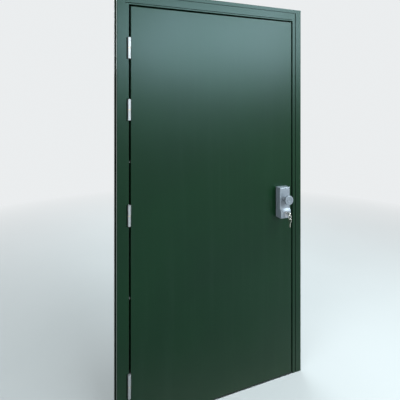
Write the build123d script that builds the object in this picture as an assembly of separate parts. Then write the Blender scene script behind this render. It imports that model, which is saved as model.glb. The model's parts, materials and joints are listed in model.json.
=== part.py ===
"""Outward-opening steel fire exit door in its folded-steel frame.

X runs from the hinges to the lock, Y from outside to inside, Z up. The origin is at the middle of the
frame's foot, half way through its depth. All sizes are in millimetres, and the leaf is shut.
"""

import os
from math import cos, radians, sin

from build123d import *

# Leaf
leaf_width = 916.0
leaf_height = 2000.0
leaf_thickness = 45.0
skin = 1.2
skin_bend = 2.0
stile_sheet = 1.5
stile_flange = 35.0
rail_flange = 30.0

# Gaps round the leaf
hinge_gap = 9.0
lock_gap = 8.0
head_gap = 7.0
foot_gap = 6.0
seal_thickness = 3.0
seal_width = 8.0
seal_inset = 2.0
seal_play = 0.3

# Frame
frame_sheet = 2.0
frame_bend = 2.5
frame_depth = 90.0
hinge_face = 57.0
lock_face = 58.0
head_face = 68.0
stop_width = 20.0
wall_lip = 18.0
groove_depth = 3.0
head_inner_groove_at = 14.0
head_inner_groove = 3.0
head_outer_groove_at = 53.0
head_outer_groove = 2.5
lock_groove_at = 25.5
lock_groove = 5.0
corner_groove_reach = 27.0
threshold_rise = 22.0
fixing_count = 4
fixing_first = 180.0
fixing_below_head = 203.0
fixing_radius = 5.25
fixing_depth = 24.0

# Hinges, the lowest one set out from the foot of the leaf and the others from its top
lowest_hinge_up = 200.0
upper_hinges_down = (993.0, 492.0, 200.0)
hinge_lengths = (112.0, 100.0, 100.0, 100.0)
hinge_axis_out = 4.0
hinge_axis_aside = 8.0
knuckle_radius = 7.25
pin_radius = 4.0
pin_clearance = 0.05
hinge_plate = 3.0
hinge_plate_reach = 33.0
knuckle_clearance = 0.6
washer_thickness = 2.0
washer_play = 0.1
notch_width = 12.0
notch_depth = 12.0
notch_play = 1.5
backing_plate = 4.0
backing_front_gap = 8.0
backing_back_gap = 4.0
hinge_pin_short = 1.0
hinge_washer_inset = 0.5
hinge_screw_radius = 2.5
hinge_screw_head = 4.8
hinge_screw_length = 8.5
hinge_screw_step = 33.0

# Dog bolts on the hinge edge, half way between the lower three hinges
dog_bolt_radius = 5.0
dog_bolt_reach = 14.0
dog_bolt_depth = 20.0
dog_hole_play = 3.0
dog_bolt_nose = 2.5
dog_collar_width = 2.0
dog_collar_height = 2.5

# Outside access device, set out from the lock edge and the foot of the leaf
access_from_lock = 39.0
access_width = 65.0
access_bottom = 905.0
access_height = 167.0
access_depth = 40.0
lock_block_depth = 50.0
lock_block_height = 40.0
ledge_rise = 13.0
access_wall = 3.0
access_round = 4.0
knob_across = 33.0
knob_up = 105.0
knob_radius = 25.5
knob_neck_radius = 12.5
knob_collar_radius = 16.0
knob_reach = 40.0
knob_rim = 13.0
spindle_size = 8.0
spindle_play = 1.2
access_bolt_radius = 3.0
access_bolt_from_top = 22.0
access_bolt_from_foot = 62.0
access_post_wall = 3.5
access_bolt_short = 12.0
knob_gap = 1.0
knob_collar_height = 3.0
knob_neck_from = 9.0
knob_groove = 0.8
knob_flare_inset = 3.0
knob_tail = 14.0
knob_seat_wall = 2.0

# Lock cylinder, key and ring
cylinder_across = 30.0
cylinder_up = 30.0
cylinder_length = 40.0
cylinder_head_radius = 8.5
cylinder_body_width = 10.0
cylinder_height = 33.0
cylinder_proud = 1.0
plug_radius = 6.5
plug_play = 0.05
cam_radius = 13.0
cam_thickness = 7.0
cam_width = 7.0
cam_hub_radius = 8.0
cam_play = 0.2
key_thickness = 2.2
key_play = 0.2
key_blade_height = 7.6
key_blade_length = 28.0
key_neck = 11.0
key_bow_length = 30.0
key_bow_height = 24.0
key_hole_radius = 3.0
key_hole_edge = 5.5
ring_radius = 10.0
ring_wire = 0.9
ring_chamfer = 0.45
spare_key_length = 50.0
spare_key_neck = 4.4
key_corner = 7.0
ring_play = 0.1
cylinder_screw_from_back = 6.0
cylinder_screw_recess = 1.0
cylinder_thread_depth = 9.0

# Panic device on the inside face
chassis_width = 60.0
chassis_sheet = 3.0
chassis_projection = 50.0
idle_chassis_above_pivot = 32.0
active_chassis_height = 180.0
idle_chassis_height = 110.0
cover_sheet = 2.0
cover_play = 1.0
cover_projection = 60.0
cover_round = 5.0
cover_slot_below = 62.0
cover_slot_above = 14.0
shoot_way_play = 1.0
chassis_screw_radius = 2.5
chassis_screw_aside = 20.0
chassis_screw_from_end = 10.0
arm_pivot_out = 38.0
arm_pivot_up = 40.0
arm_length = 95.0
arm_thickness = 14.0
arm_hub_radius = 12.0
arm_sleeve_radius = 8.0
arm_boss_radius = 19.0
arm_held_angle = -50.0
arm_swing = 25.0
arm_slot_play = 2.0
arm_chamfer = 1.2
bar_radius = 15.0
bar_wall = 2.0
bar_spigot = 20.0
toe_thickness = 4.0
toe_width = 8.0
toe_end_radius = 3.0
rocker_swing = 45.0
rocker_sheet = 3.0
rocker_hub_radius = 10.0
rocker_pin_radius = 3.0
rocker_pin_wall = 3.0
rocker_pin_proud = 0.6
rocker_hole_less = 0.6
rocker_off_chassis = 2.0
slide_sheet = 2.5
slide_play = 0.3
slide_strip = 7.0
slide_yoke = 12.0
slide_end_gap = 14.0
slide_wall = 2.5
shoot_radius = 6.0
shoot_chamfer = 1.5
shoot_out = 16.0
shoot_play = 0.3
shoot_rest_gap = 2.5
lower_guides_up = (62.0, 470.0)
upper_guides_down = (470.0, 70.0)
guide_width = 40.0
guide_height = 24.0
guide_foot = 3.0
guide_wall = 3.0
guide_round = 6.0
guide_screw_offset = 14.5
keeper_width = 60.0
keeper_depth = 30.0
keeper_thickness = 2.5
keeper_hole_play = 1.5
keeper_hole_corner = 1.5
keeper_screw_offset = 22.0
keeper_screw_length = 4.5
keeper_margin = 4.0
keeper_corner = 4.0
keeper_backing_play = 1.0
dust_box_wall = 1.5
dust_box_height = 16.0
dust_box_corner = 2.0
small_screw_radius = 2.0
small_screw_head = 3.8
hold_back_up = 24.0
hold_back_radius = 11.0
hold_back_stem = 4.0
hold_back_button = 3.7
hold_back_gap = 0.3
hold_back_grip_height = 8.0
hold_back_grip_width = 5.0
hold_back_finger = 14.0
hold_back_finger_width = 6.0
hold_back_finger_thickness = 5.0
hold_back_depth = 12.0

reinforcement_height = 300.0
reinforcement_sheet = 2.0
reinforcement_margin = 14.0
edge_hole_depth = 10.0
hole_play = 0.4
cut_past = 1.0

# Places that follow from the sizes above
leaf_left = -leaf_width / 2
leaf_right = leaf_width / 2
leaf_bottom = frame_sheet + foot_gap
leaf_top = leaf_bottom + leaf_height
frame_front = -frame_depth / 2
frame_back = frame_depth / 2
leaf_front = frame_front
leaf_back = leaf_front + leaf_thickness
stop_y = leaf_back + seal_thickness
frame_left = leaf_left - hinge_gap - hinge_face
frame_right = leaf_right + lock_gap + lock_face
frame_top = leaf_top + head_gap + head_face
stop_underside = leaf_top + head_gap - stop_width
reveal_left = leaf_left - hinge_gap + stop_width
reveal_right = leaf_right + lock_gap - stop_width
inner_front = leaf_front + skin
inner_back = leaf_back - skin
stile_x = leaf_right - skin
hinge_x = leaf_left - hinge_axis_aside
hinge_y = leaf_front - hinge_axis_out
access_side = leaf_right - access_from_lock - access_width
access_x = access_side + access_width / 2
access_foot = leaf_bottom + access_bottom
access_front = leaf_front - access_depth
block_front = leaf_front - lock_block_depth
knob_x = access_side + knob_across
knob_z = access_foot + knob_up
cylinder_x = access_side + cylinder_across
cylinder_z = access_foot + cylinder_up
cylinder_front = block_front - cylinder_proud
active_x = knob_x
idle_x = -knob_x
rocker_z = knob_z
rocker_back = leaf_back + chassis_sheet + rocker_off_chassis + rocker_sheet
arm_z = rocker_z + arm_pivot_up
arm_y = leaf_back + arm_pivot_out
slide_y = leaf_back + chassis_sheet + 2 * slide_sheet + rocker_sheet / 2
toe_length = (arm_y - slide_y) / cos(radians(arm_swing / 2))
stroke = 2 * toe_length * sin(radians(arm_swing / 2))
rocker_radius = stroke / (2 * sin(radians(rocker_swing / 2)))
shoot_y = leaf_back + shoot_out
top_tip = stop_underside - keeper_thickness - shoot_rest_gap
bottom_tip = threshold_rise + keeper_thickness + shoot_rest_gap
chassis_bottom = rocker_z - active_chassis_height / 2
chassis_top = rocker_z + active_chassis_height / 2
bar_y = arm_y + arm_length * cos(radians(arm_held_angle))
bar_z = arm_z + arm_length * sin(radians(arm_held_angle))
idle_middle = arm_z + idle_chassis_above_pivot - idle_chassis_height / 2
spindle_hole = spindle_size / 2**0.5 + spindle_play
dog_bolt_y = leaf_back - dog_bolt_depth
hinge_heights = (lowest_hinge_up, *(leaf_height - down for down in upper_hinges_down))
dog_bolt_heights = [(low + high) / 2 for low, high in zip(hinge_heights[:2], hinge_heights[1:3])]
hinge_screw_y = leaf_front + (hinge_plate_reach + knuckle_radius) / 2
guide_heights = (*lower_guides_up, *(leaf_height - down for down in upper_guides_down))
fixing_step = (frame_top - fixing_below_head - fixing_first) / (fixing_count - 1)
fixing_heights = [fixing_first + number * fixing_step for number in range(fixing_count)]
access_top = access_foot + access_height
access_bolt_heights = (access_top - access_bolt_from_top, access_foot + access_bolt_from_foot)
hold_back_z = chassis_bottom + hold_back_up

pieces = {}


def block(x0, x1, y0, y1, z0, z1):
    """Rectangular solid between two opposite corners."""
    return Pos((x0 + x1) / 2, (y0 + y1) / 2, (z0 + z1) / 2) * Box(x1 - x0, y1 - y0, z1 - z0)


def rod_x(x0, x1, y, z, radius):
    """Round bar along X."""
    return Pos((x0 + x1) / 2, y, z) * Rot(0, 90, 0) * Cylinder(radius, x1 - x0)


def rod_y(x, y0, y1, z, radius):
    """Round bar along Y."""
    return Pos(x, (y0 + y1) / 2, z) * Rot(90, 0, 0) * Cylinder(radius, y1 - y0)


def rod_z(x, y, z0, z1, radius):
    """Round bar along Z."""
    return Pos(x, y, (z0 + z1) / 2) * Cylinder(radius, z1 - z0)


def folded(points, side):
    """Section of folded sheet whose outside line runs through the points."""
    line = FilletPolyline(*points, radius=frame_bend)
    return make_face(offset(line, amount=frame_sheet, side=side))


def side_outline(points, x0, x1):
    """Solid with an outline drawn in Y and Z, between two places along X."""
    face = make_face(Polyline(*points, close=True))
    return Pos(x0, 0, 0) * extrude(Plane.YZ * face, x1 - x0)


def countersunk(radius, head, length):
    """Countersunk screw along Z, its head's flat top at Z = 0 and its shank below."""
    points = [(0, 0), (head, 0), (radius, radius - head), (radius, -length), (0, -length)]
    return revolve(Plane.XZ * make_face(Polyline(*points, close=True)), Axis.Z)


def countersunk_hole(radius, head, length):
    """Drilling that a countersunk screw sits in with a little play."""
    return countersunk(radius + hole_play, head + hole_play, length + cut_past)


def pan_head(radius, length):
    """Low round-headed screw along Z, its seat at Z = 0 and its shank below."""
    head = 1.9 * radius
    rise = radius * 0.8
    points = [(0, -length), (radius, -length), (radius, 0), (head, 0), (head * 0.8, rise), (0, rise)]
    return revolve(Plane.XZ * make_face(Polyline(*points, close=True)), Axis.Z)


def section_points(gap, face):
    """Outside line of a frame member: distance out from the leaf's edge, and depth."""
    outer = gap + face
    inner = gap - stop_width
    return [
        (outer, frame_front + wall_lip),
        (outer, frame_front),
        (gap, frame_front),
        (gap, stop_y),
        (inner, stop_y),
        (inner, frame_back),
        (outer, frame_back),
        (outer, frame_back - wall_lip),
    ]


def pressed_groove(member, x0, x1, z0, z1):
    """Groove pressed into the front sheet of a frame member, so the sheet stays closed behind it."""
    y0 = frame_front
    y1 = frame_front + groove_depth
    t = frame_sheet
    swell = block(x0 - t, x1 + t, y0, y1 + t, z0 - t, z1 + t)
    return member + swell - block(x0, x1, y0 - t, y1, z0, z1)


def head_region():
    """Space above the mitres at both upper corners of the frame."""
    reach = frame_right - frame_left
    left = leaf_left - hinge_gap
    right = leaf_right + lock_gap
    foot = leaf_top + head_gap
    below = stop_width + frame_bend
    outline = Polyline(
        (left - reach, foot + reach),
        (left + below, foot - below),
        (right - below, foot - below),
        (right + reach, foot + reach),
        close=True,
    )
    return extrude(Plane.XZ * make_face(outline), frame_depth, both=True)


def keeper_holes(z0, z1):
    """Holes in a frame member under a keeper: a square one for the shoot and two for the screws."""
    half = shoot_radius + keeper_hole_play + keeper_backing_play
    drills = [block(active_x - half, active_x + half, shoot_y - half, shoot_y + half, z0, z1)]
    for side in (-1, 1):
        x = active_x + side * keeper_screw_offset
        drills.append(rod_z(x, shoot_y, z0, z1, small_screw_radius + hole_play))
    return drills


def dust_box():
    """Box welded over the upper shoot's hole inside the head, which keeps mortar out of it."""
    inner = shoot_radius + keeper_hole_play + keeper_backing_play
    outer = inner + dust_box_wall
    low = stop_underside + frame_sheet / 2
    high = stop_underside + frame_sheet + dust_box_height
    box = block(active_x - outer, active_x + outer, shoot_y - outer, shoot_y + outer, low, high)
    box = fillet(box.edges().filter_by(Axis.Z), dust_box_corner)
    top = high - dust_box_wall
    return box - block(active_x - inner, active_x + inner, shoot_y - inner, shoot_y + inner, low - cut_past, top)


def make_frame():
    """Two jambs and a head, mitred, and the threshold between them."""
    lock = extrude(folded(section_points(lock_gap, lock_face), Side.RIGHT), frame_top)
    lock = Pos(leaf_right, 0, 0) * lock
    hinge = extrude(folded(section_points(hinge_gap, hinge_face), Side.RIGHT), frame_top)
    hinge = Pos(leaf_left, 0, 0) * mirror(hinge, about=Plane.YZ)
    points = [(y, out) for out, y in section_points(head_gap, head_face)]
    head = extrude(Plane.YZ * folded(points, Side.LEFT), frame_right - frame_left)
    head = Pos(frame_left, 0, leaf_top) * head

    outer_z = leaf_top + head_outer_groove_at
    inner_z = leaf_top + head_inner_groove_at
    groove_x = leaf_right + lock_groove_at
    inner_end = leaf_right + lock_gap - frame_bend
    foot = -frame_sheet * 2
    outer_top = outer_z + head_outer_groove
    inner_top = inner_z + head_inner_groove
    inner_start = leaf_left - corner_groove_reach
    head = pressed_groove(head, frame_left + 2 * frame_bend, groove_x + lock_groove, outer_z, outer_top)
    head = pressed_groove(head, inner_start, inner_end, inner_z, inner_top)
    head = pressed_groove(head, groove_x, groove_x + lock_groove, inner_z, outer_top)
    hinge = pressed_groove(hinge, inner_start, inner_end, inner_z, inner_top)
    hinge = hinge & block(frame_left, reveal_left, frame_front, frame_back, 0, frame_top)
    lock = pressed_groove(lock, groove_x, groove_x + lock_groove, foot, outer_top)
    lock = lock & block(reveal_right, frame_right, frame_front, frame_back, 0, frame_top)

    upper = head_region()
    head = head & upper
    hinge = hinge - upper
    lock = lock - upper

    for height, length in zip(hinge_heights, hinge_lengths):
        middle = leaf_bottom + height
        half = length / 2 + notch_play
        hinge -= block(
            leaf_left - hinge_gap - notch_width,
            leaf_left - hinge_gap + frame_sheet,
            frame_front - frame_sheet,
            frame_front + notch_depth,
            middle - half,
            middle + half,
        )
    for height in dog_bolt_heights:
        hinge -= rod_x(
            leaf_left - hinge_gap - 2 * frame_sheet,
            leaf_left - hinge_gap + frame_sheet,
            dog_bolt_y,
            leaf_bottom + height,
            dog_bolt_radius + dog_hole_play,
        )
    for height in fixing_heights:
        y = stop_y + fixing_depth - seal_thickness
        hinge -= rod_x(reveal_left - 2 * frame_sheet, reveal_left + frame_sheet, y, height, fixing_radius)
        lock -= rod_x(reveal_right - frame_sheet, reveal_right + 2 * frame_sheet, y, height, fixing_radius)

    head -= keeper_holes(stop_underside - frame_sheet, stop_underside + 2 * frame_sheet)
    head += dust_box()

    line = [(stop_y, 0), (stop_y, threshold_rise), (frame_back, threshold_rise), (frame_back, 0)]
    rise = folded(line, Side.RIGHT)
    sill = Pos(reveal_left, 0, 0) * extrude(Plane.YZ * rise, reveal_right - reveal_left)
    plate_left = leaf_left - hinge_gap
    plate_right = leaf_right + lock_gap
    sill += block(plate_left, plate_right, frame_front, stop_y - frame_bend, 0, frame_sheet)
    sill += block(reveal_left, reveal_right, stop_y - frame_bend, stop_y + frame_bend, 0, frame_sheet)
    sill -= keeper_holes(threshold_rise - 2 * frame_sheet, threshold_rise + frame_sheet)

    pieces["hinge_jamb"] = hinge
    pieces["lock_jamb"] = lock
    pieces["frame_head"] = head
    pieces["threshold"] = sill


def make_frame_trim():
    """Rubber seal round the stop, and the plates that the shoots enter."""
    frames = []
    for edge, past in ((seal_inset, 0), (seal_inset + seal_width, cut_past)):
        frames.append(
            block(
                leaf_left + edge,
                leaf_right - edge,
                leaf_back + seal_play - past,
                stop_y + past,
                leaf_bottom + edge,
                leaf_top - edge,
            )
        )
    pieces["frame_seal"] = frames[0] - frames[1]

    screws = []
    hole = shoot_radius + keeper_hole_play
    plate_front = shoot_y - hole - keeper_margin
    for name, z0, face, turn in (
        ("top_keeper", stop_underside - keeper_thickness, stop_underside - keeper_thickness, 180),
        ("bottom_keeper", threshold_rise, threshold_rise + keeper_thickness, 0),
    ):
        z1 = z0 + keeper_thickness
        half = keeper_width / 2
        plate = block(active_x - half, active_x + half, plate_front, plate_front + keeper_depth, z0, z1)
        plate = fillet(plate.edges().filter_by(Axis.Z), keeper_corner)
        way = Rectangle(2 * hole, 2 * hole)
        way = extrude(fillet(way.vertices(), keeper_hole_corner), keeper_thickness, both=True)
        plate -= Pos(active_x, shoot_y, (z0 + z1) / 2) * way
        for side in (-1, 1):
            place = Pos(active_x + side * keeper_screw_offset, shoot_y, face) * Rot(turn, 0, 0)
            plate -= place * countersunk_hole(small_screw_radius, small_screw_head, keeper_screw_length)
            screws.append(place * countersunk(small_screw_radius, small_screw_head, keeper_screw_length))
        pieces[name] = plate
    pieces["keeper_screws"] = Compound(screws)


def make_leaf():
    """Outer tray, inner sheet, edge channels, core and reinforcements."""
    outer = block(leaf_left, leaf_right, leaf_front, inner_back, leaf_bottom, leaf_top)
    outer = fillet(outer.faces().sort_by(Axis.Y)[0].edges(), skin_bend)
    low = leaf_bottom + skin
    high = leaf_top - skin
    tray = outer - block(leaf_left + skin, leaf_right - skin, inner_front, leaf_back + skin, low, high)
    sheet = block(leaf_left, leaf_right, inner_back, leaf_back, leaf_bottom, leaf_top)

    t = stile_sheet
    stiles = {}
    for name, side in (("hinge_stile", -1), ("lock_stile", 1)):
        web = side * stile_x
        tip = side * (stile_x - stile_flange)
        channel = block(min(web, tip), max(web, tip), inner_front, inner_back, low, high)
        x0, x1 = sorted((web - side * t, tip - side * t))
        hollow = block(x0, x1, inner_front + t, inner_back - t, leaf_bottom, leaf_top)
        outside_bends = channel.edges().filter_by(Axis.Z).group_by(Axis.X)[-1 if side > 0 else 0]
        stiles[name] = fillet(outside_bends, t) - hollow
    rails = {}
    rail_end = stile_x - stile_flange
    for name, web, side in (("bottom_rail", low, 1), ("top_rail", high, -1)):
        tip = web + side * rail_flange
        channel = block(-rail_end, rail_end, inner_front, inner_back, min(web, tip), max(web, tip))
        z0, z1 = sorted((web + side * t, tip + side * t))
        rails[name] = channel - block(leaf_left, leaf_right, inner_front + t, inner_back - t, z0, z1)

    half = reinforcement_height / 2
    boxes = {}
    for name, x in (("lock_reinforcement", active_x), ("idle_reinforcement", idle_x)):
        side = 1 if x > 0 else -1
        x0, x1 = sorted((side * rail_end, x - side * (chassis_width / 2 + reinforcement_margin)))
        z0 = rocker_z - half
        z1 = rocker_z + half
        w = reinforcement_sheet
        outside = block(x0, x1, inner_front, inner_back, z0, z1)
        inside = block(x0 + w, x1 - w, inner_front + w, inner_back - w, z0 - cut_past, z1 + cut_past)
        boxes[name] = (outside, outside - inside)

    core = block(-rail_end, rail_end, inner_front, inner_back, low + rail_flange, high - rail_flange)
    for outside, _ in boxes.values():
        core -= outside

    front = leaf_front - cut_past
    behind = leaf_back + cut_past
    through = [rod_y(knob_x, front, behind, knob_z, spindle_hole)]
    for z in access_bolt_heights:
        through.append(rod_y(access_x, front, behind, z, access_bolt_radius + hole_play))
    inside = inner_back - reinforcement_sheet - cut_past
    radius = chassis_screw_radius + hole_play
    chassis_holes = [rod_y(x, inside, behind, z, radius) for x, z in chassis_screw_places()]
    radius = small_screw_radius + hole_play
    guide_holes = [rod_y(x, inner_back, behind, z, radius) for x, z in guide_screw_places()]
    x0 = leaf_left - cut_past
    x1 = leaf_left + edge_hole_depth
    radius = dog_bolt_radius + hole_play
    edge_holes = [rod_x(x0, x1, dog_bolt_y, leaf_bottom + height, radius) for height in dog_bolt_heights]
    radius = hinge_screw_radius + hole_play
    edge_holes += [rod_x(x0, x1, hinge_screw_y, z, radius) for z in hinge_screw_heights()]

    tray = tray - through - edge_holes
    sheet = sheet - through - chassis_holes - guide_holes
    pieces["leaf_outer_skin"] = tray
    pieces["leaf_inner_skin"] = sheet
    pieces["leaf_core"] = core
    pieces["hinge_stile"] = stiles["hinge_stile"] - edge_holes
    pieces["lock_stile"] = stiles["lock_stile"]
    pieces.update(rails)
    for name, (_, box) in boxes.items():
        pieces[name] = box - through - chassis_holes


def hinge_screw_heights():
    """Heights of all the screws in the leaf's hinge plates."""
    heights = []
    for height in hinge_heights:
        heights += [leaf_bottom + height + step * hinge_screw_step for step in (-1, 0, 1)]
    return heights


def chassis_screw_places():
    """Places of the screws that hold both chassis to the leaf."""
    places = []
    for x, middle, height in (
        (active_x, rocker_z, active_chassis_height),
        (idle_x, idle_middle, idle_chassis_height),
    ):
        for side in (-1, 1):
            for end in (-1, 1):
                z = middle + end * (height / 2 - chassis_screw_from_end)
                places.append((x + side * chassis_screw_aside, z))
    return places


def guide_screw_places():
    """Places of the screws in the four shoot guides."""
    places = []
    for height in guide_heights:
        for side in (-1, 1):
            places.append((active_x + side * guide_screw_offset, leaf_bottom + height))
    return places


def make_hinges():
    """Lift-off hinges: lower knuckle and pin on the frame, upper knuckle on the leaf."""
    pins = []
    washers = []
    screws = []
    backing = []
    y_end = leaf_front + hinge_plate_reach
    frame_plate_x = leaf_left - hinge_gap
    for number, (height, length) in enumerate(zip(hinge_heights, hinge_lengths), start=1):
        middle = leaf_bottom + height
        low = middle - length / 2
        high = middle + length / 2
        under = middle - washer_thickness / 2
        over = middle + washer_thickness / 2 + washer_play
        bore = rod_z(hinge_x, hinge_y, low - cut_past, high + cut_past, pin_radius + pin_clearance)
        clear = knuckle_radius + knuckle_clearance

        lower = rod_z(hinge_x, hinge_y, low, under, knuckle_radius)
        lower += block(frame_plate_x, frame_plate_x + hinge_plate, hinge_y, y_end, low, under)
        lower += block(frame_plate_x, frame_plate_x + hinge_plate, hinge_y + clear, y_end, low, high)
        pieces[f"hinge_{number}_frame_leaf"] = lower - bore

        upper = rod_z(hinge_x, hinge_y, over, high, knuckle_radius)
        upper += block(leaf_left - hinge_plate, leaf_left, hinge_y, y_end, over, high)
        upper += block(leaf_left - hinge_plate, leaf_left, hinge_y + clear, y_end, low, high)
        upper -= bore
        for step in (-1, 0, 1):
            z = middle + step * hinge_screw_step
            place = Pos(leaf_left - hinge_plate, hinge_screw_y, z) * Rot(0, -90, 0)
            upper -= place * countersunk_hole(hinge_screw_radius, hinge_screw_head, hinge_screw_length)
            screws.append(place * countersunk(hinge_screw_radius, hinge_screw_head, hinge_screw_length))
        pieces[f"hinge_{number}_door_leaf"] = upper

        pins.append(rod_z(hinge_x, hinge_y, low, high - hinge_pin_short, pin_radius))
        ring = rod_z(hinge_x, hinge_y, under, under + washer_thickness, knuckle_radius - hinge_washer_inset)
        washers.append(ring - bore)
        x0 = leaf_left + skin + stile_sheet
        x1 = x0 + backing_plate
        plate = block(x0, x1, inner_front + backing_front_gap, inner_back - backing_back_gap, low, high)
        tapped = hinge_screw_radius + pin_clearance
        for step in (-1, 0, 1):
            z = middle + step * hinge_screw_step
            plate -= rod_x(x0 - cut_past, x1 + cut_past, hinge_screw_y, z, tapped)
        backing.append(plate)
    pieces["hinge_pins"] = Compound(pins)
    pieces["hinge_washers"] = Compound(washers)
    pieces["door_hinge_screws"] = Compound(screws)
    pieces["hinge_backing_plates"] = Compound(backing)


def make_dog_bolts():
    """Fixed bolts on the hinge edge that enter holes in the jamb as the leaf shuts."""
    bolts = []
    back = skin + stile_sheet + backing_plate
    collar = dog_bolt_radius + dog_collar_width
    for height in dog_bolt_heights:
        outline = Polyline(
            (0, -back),
            (dog_bolt_radius, -back),
            (dog_bolt_radius, 0),
            (collar, 0),
            (collar, dog_collar_height),
            (dog_bolt_radius, dog_collar_height),
            (dog_bolt_radius, dog_bolt_reach - dog_bolt_nose),
            (dog_bolt_radius - dog_bolt_nose, dog_bolt_reach),
            (0, dog_bolt_reach),
            close=True,
        )
        bolt = revolve(Plane.XZ * make_face(outline), Axis.Z)
        bolts.append(Pos(leaf_left, dog_bolt_y, leaf_bottom + height) * Rot(0, -90, 0) * bolt)
    pieces["dog_bolts"] = Compound(bolts)


def cylinder_outline(grow=0.0):
    """Keyhole-shaped section of the lock cylinder, round at the plug, in its own plane."""
    low = cylinder_head_radius - cylinder_height
    half = cylinder_body_width / 2 + grow
    head = Circle(cylinder_head_radius + grow)
    stem = Pos(0, (low + half - grow) / 2) * Rectangle(2 * half, -(low + half - grow))
    foot = Pos(0, low + half - grow) * Circle(half)
    return head + stem + foot


def along_y(face, x, z, y0, y1):
    """Solid with an outline drawn in X and Z, between two depths."""
    return Pos(x, y1, z) * extrude(Plane.XZ * face, y1 - y0)


def make_access_device():
    """Housing, knob with its square spindle, and the clamping bolts."""
    x0 = access_x - access_width / 2
    x1 = access_x + access_width / 2
    top = access_top
    ledge = access_foot + lock_block_height
    outer = [
        (leaf_front, access_foot),
        (block_front, access_foot),
        (block_front, ledge),
        (access_front, ledge + ledge_rise),
        (access_front, top),
        (leaf_front, top),
    ]
    w = access_wall
    inner = [
        (leaf_front + cut_past, access_foot + w),
        (block_front + w, access_foot + w),
        (block_front + w, ledge - w / 2),
        (access_front + w, ledge + ledge_rise - w / 2),
        (access_front + w, top - w),
        (leaf_front + cut_past, top - w),
    ]
    shell = side_outline(outer, x0, x1)
    side_edges = shell.faces().sort_by(Axis.X)[0].edges() + shell.faces().sort_by(Axis.X)[-1].edges()
    front_edges = [edge for edge in side_edges if edge.center().Y < leaf_front - access_round]
    front_edges = [edge for edge in front_edges if edge.center().Y < access_front + access_round]
    top_edge = shell.edges().filter_by(Axis.X).group_by(Axis.Z)[-1].sort_by(Axis.Y)[0]
    foot_edge = shell.edges().filter_by(Axis.X).group_by(Axis.Z)[0].sort_by(Axis.Y)[0]
    shell = fillet(front_edges + [top_edge, foot_edge], access_round)
    shell -= side_outline(inner, x0 + w, x1 - w)
    tail = access_front + knob_tail
    shell += rod_y(knob_x, access_front + w / 2, tail, knob_z, knob_collar_radius + knob_seat_wall)
    for z in access_bolt_heights:
        shell += rod_y(access_x, access_front + w / 2, leaf_front, z, access_bolt_radius + access_post_wall)
        drill_from = access_front + access_bolt_short
        shell -= rod_y(access_x, drill_from, leaf_front + cut_past, z, access_bolt_radius + pin_clearance)
    shell -= rod_y(knob_x, access_front - cut_past, tail + cut_past, knob_z, knob_neck_radius)
    hole = cylinder_outline(2 * pin_clearance)
    hole_end = block_front + cylinder_length / 2
    shell -= along_y(hole, cylinder_x, cylinder_z, block_front - cut_past, hole_end)
    pieces["access_housing"] = shell

    bolts = []
    head = leaf_back + chassis_sheet
    for z in access_bolt_heights:
        bolt = pan_head(access_bolt_radius, head - access_front - access_bolt_short - cut_past)
        bolts.append(Pos(access_x, head, z) * Rot(-90, 0, 0) * bolt)
    pieces["access_fixing_bolts"] = Compound(bolts)

    far = knob_reach
    rim = far - knob_rim
    groove = knob_groove
    sides = Polyline(
        (0, knob_gap),
        (knob_collar_radius, knob_gap),
        (knob_collar_radius, knob_collar_height),
        (knob_neck_radius, knob_neck_from),
    )
    middle = (knob_neck_radius + knob_flare_inset, (knob_neck_from + rim) / 2)
    flare = ThreePointArc((knob_neck_radius, knob_neck_from), middle, (knob_radius, rim))
    front = Polyline(
        (knob_radius, rim),
        (knob_radius, far - knob_radius * 0.12),
        (knob_radius * 0.88, far),
        (knob_radius * 0.62, far),
        (knob_radius * 0.6, far - groove),
        (knob_radius * 0.52, far - groove),
        (knob_radius * 0.5, far),
        (knob_radius * 0.26, far),
        (knob_radius * 0.22, far - groove),
        (0, far - groove),
        (0, knob_gap),
    )
    knob = revolve(Plane.XZ * make_face(sides + flare + front), Axis.Z)
    knob = Pos(knob_x, access_front, knob_z) * Rot(90, 0, 0) * knob
    neck_start = access_front - 2 * knob_gap
    knob += rod_y(knob_x, neck_start, access_front + knob_tail, knob_z, knob_neck_radius - pin_clearance)
    spindle = block(
        knob_x - spindle_size / 2,
        knob_x + spindle_size / 2,
        access_front,
        rocker_back,
        knob_z - spindle_size / 2,
        knob_z + spindle_size / 2,
    )
    pieces["access_knob"] = knob - spindle
    pieces["access_spindle"] = spindle


def key_face(length_in, neck, bow_length):
    """Flat key outline along local X: the blade to the left of zero, the neck and bow to the right."""
    half = key_blade_height / 2
    shoulder = half - length_in
    points = [(neck, half), (shoulder, half), (-length_in, 0), (shoulder, -half), (neck, -half)]
    blade = make_face(Polyline(*points, close=True))
    bow = Pos(neck + bow_length / 2, 0) * RectangleRounded(bow_length, key_bow_height, key_corner)
    hole = Pos(neck + bow_length - key_hole_edge, 0) * Circle(key_hole_radius)
    return blade + bow - hole


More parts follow.
